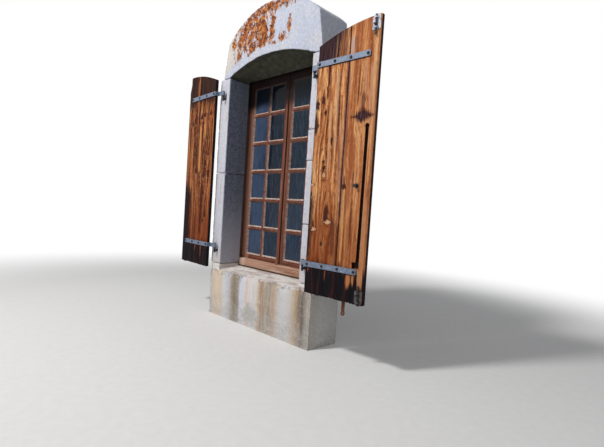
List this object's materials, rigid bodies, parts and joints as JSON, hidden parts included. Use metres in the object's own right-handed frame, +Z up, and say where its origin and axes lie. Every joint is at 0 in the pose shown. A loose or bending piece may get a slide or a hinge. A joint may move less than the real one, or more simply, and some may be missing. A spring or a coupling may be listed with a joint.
{
  "type": "shuttered window",
  "caption": "Segmental-arched stone window surround with folding-back board shutters on strap hinges and multi-pane timber casements that open inward.",
  "frame": {"origin": "middle of the opening on the facade plane, at the foot of the sill block", "axes": "+X to the right seen from outside, +Y into the wall, +Z up"},
  "size_m": [2.2379, 0.4348, 2.625],
  "materials": {
    "sill_stone": "weathered",
    "jamb_stone": "dressed",
    "lintel_stone": "limewashed",
    "frame_wood": "weathered",
    "casement_wood": "faded paint",
    "shutter_wood": "weathered",
    "pane_glass": "clear",
    "putty": "matte",
    "galvanised_iron": "galvanised",
    "dark_iron": "dark",
    "rusty_iron": "rusted",
    "plate_iron": "dull",
    "bolt_iron": "worn black"
  },
  "bodies": {
    "surround": {"arch_lintel": "lintel_stone", "casement_hinge_pins": "bolt_iron", "cremone_keeps": "bolt_iron", "frame_head": "frame_wood", "frame_left_post": "frame_wood", "frame_right_post": "frame_wood", "frame_sill_rail": "frame_wood", "left_jamb_stone_1": "jamb_stone", "left_jamb_stone_2": "jamb_stone", "left_lower_pintle": "rusty_iron", "left_upper_pintle": "rusty_iron", "right_jamb_stone_1": "jamb_stone", "right_jamb_stone_2": "jamb_stone", "right_jamb_stone_3": "jamb_stone", "right_jamb_stone_4": "jamb_stone", "right_lower_pintle": "rusty_iron", "right_upper_pintle": "rusty_iron", "sill_block": "sill_stone"},
    "left_shutter": {"left_shutter_catches": "dark_iron", "left_shutter_free_board": "shutter_wood", "left_shutter_hinge_board": "shutter_wood", "left_shutter_lower_strap": "galvanised_iron", "left_shutter_lower_strap_bolts": "dark_iron", "left_shutter_upper_strap": "galvanised_iron", "left_shutter_upper_strap_bolts": "dark_iron"},
    "right_shutter": {"bottom_bolt_plate": "plate_iron", "right_shutter_free_board": "shutter_wood", "right_shutter_hinge_board": "shutter_wood", "right_shutter_iron_tail": "rusty_iron", "right_shutter_lower_strap": "galvanised_iron", "right_shutter_lower_strap_bolts": "dark_iron", "right_shutter_pull": "dark_iron", "right_shutter_upper_strap": "galvanised_iron", "right_shutter_upper_strap_bolts": "dark_iron", "top_bolt_plate": "plate_iron"},
    "top_bolt": {"top_bolt_rod": "dark_iron"},
    "bottom_bolt": {"bottom_bolt_rod": "dark_iron"},
    "left_casement": {"cremone_case": "bolt_iron", "cremone_guides": "bolt_iron", "left_casement_bottom_rail": "casement_wood", "left_casement_glazing_bars": "casement_wood", "left_casement_hinge_leaves": "bolt_iron", "left_casement_meeting_stile": "casement_wood", "left_casement_outer_stile": "casement_wood", "left_casement_panes": "pane_glass", "left_casement_putty": "putty", "left_casement_top_rail": "casement_wood"},
    "right_casement": {"right_casement_bottom_rail": "casement_wood", "right_casement_glazing_bars": "casement_wood", "right_casement_hinge_leaves": "bolt_iron", "right_casement_meeting_stile": "casement_wood", "right_casement_outer_stile": "casement_wood", "right_casement_panes": "pane_glass", "right_casement_putty": "putty", "right_casement_top_rail": "casement_wood"},
    "cremone_knob": {"cremone_knob": "bolt_iron"},
    "cremone_upper_rod": {"cremone_upper_rod": "bolt_iron"},
    "cremone_lower_rod": {"cremone_lower_rod": "bolt_iron"}
  },
  "joints": [
    {"name": "left_shutter_hinge", "type": "hinge", "parent": "surround", "child": "left_shutter", "pos_m": [-0.556, -0.024, 1], "axis": [0, 0, 1], "range_deg": [0, 183.2]},
    {"name": "right_shutter_hinge", "type": "hinge", "parent": "surround", "child": "right_shutter", "pos_m": [0.556, -0.024, 1], "axis": [0, 0, -1], "range_deg": [0, 182.2]},
    {"name": "top_bolt_slide", "type": "slide", "parent": "right_shutter", "child": "top_bolt", "axis": [0, 0, 1], "range_m": [0, 0.03]},
    {"name": "bottom_bolt_slide", "type": "slide", "parent": "right_shutter", "child": "bottom_bolt", "axis": [0, 0, -1], "range_m": [0, 0.03]},
    {"name": "left_casement_hinge", "type": "hinge", "parent": "surround", "child": "left_casement", "pos_m": [-0.532, 0.306, 1], "axis": [0, 0, 1], "range_deg": [0, 100]},
    {"name": "right_casement_hinge", "type": "hinge", "parent": "surround", "child": "right_casement", "pos_m": [0.532, 0.306, 1], "axis": [0, 0, -1], "range_deg": [0, 100]},
    {"name": "cremone_knob_turn", "type": "hinge", "parent": "left_casement", "child": "cremone_knob", "pos_m": [-0.0282, 0.33, 1.22], "axis": [0, 1, 0], "range_deg": [0, 90]},
    {"name": "cremone_upper_slide", "type": "slide", "parent": "left_casement", "child": "cremone_upper_rod", "axis": [0, 0, 1], "range_m": [0, 0.016]},
    {"name": "cremone_lower_slide", "type": "slide", "parent": "left_casement", "child": "cremone_lower_rod", "axis": [0, 0, -1], "range_m": [0, 0.016]}
  ],
  "couplings": [
    {"joint": "cremone_knob_turn", "follows": "cremone_upper_slide", "rad_per_m": 98.17},
    {"joint": "cremone_lower_slide", "follows": "cremone_upper_slide", "ratio": 1}
  ]
}
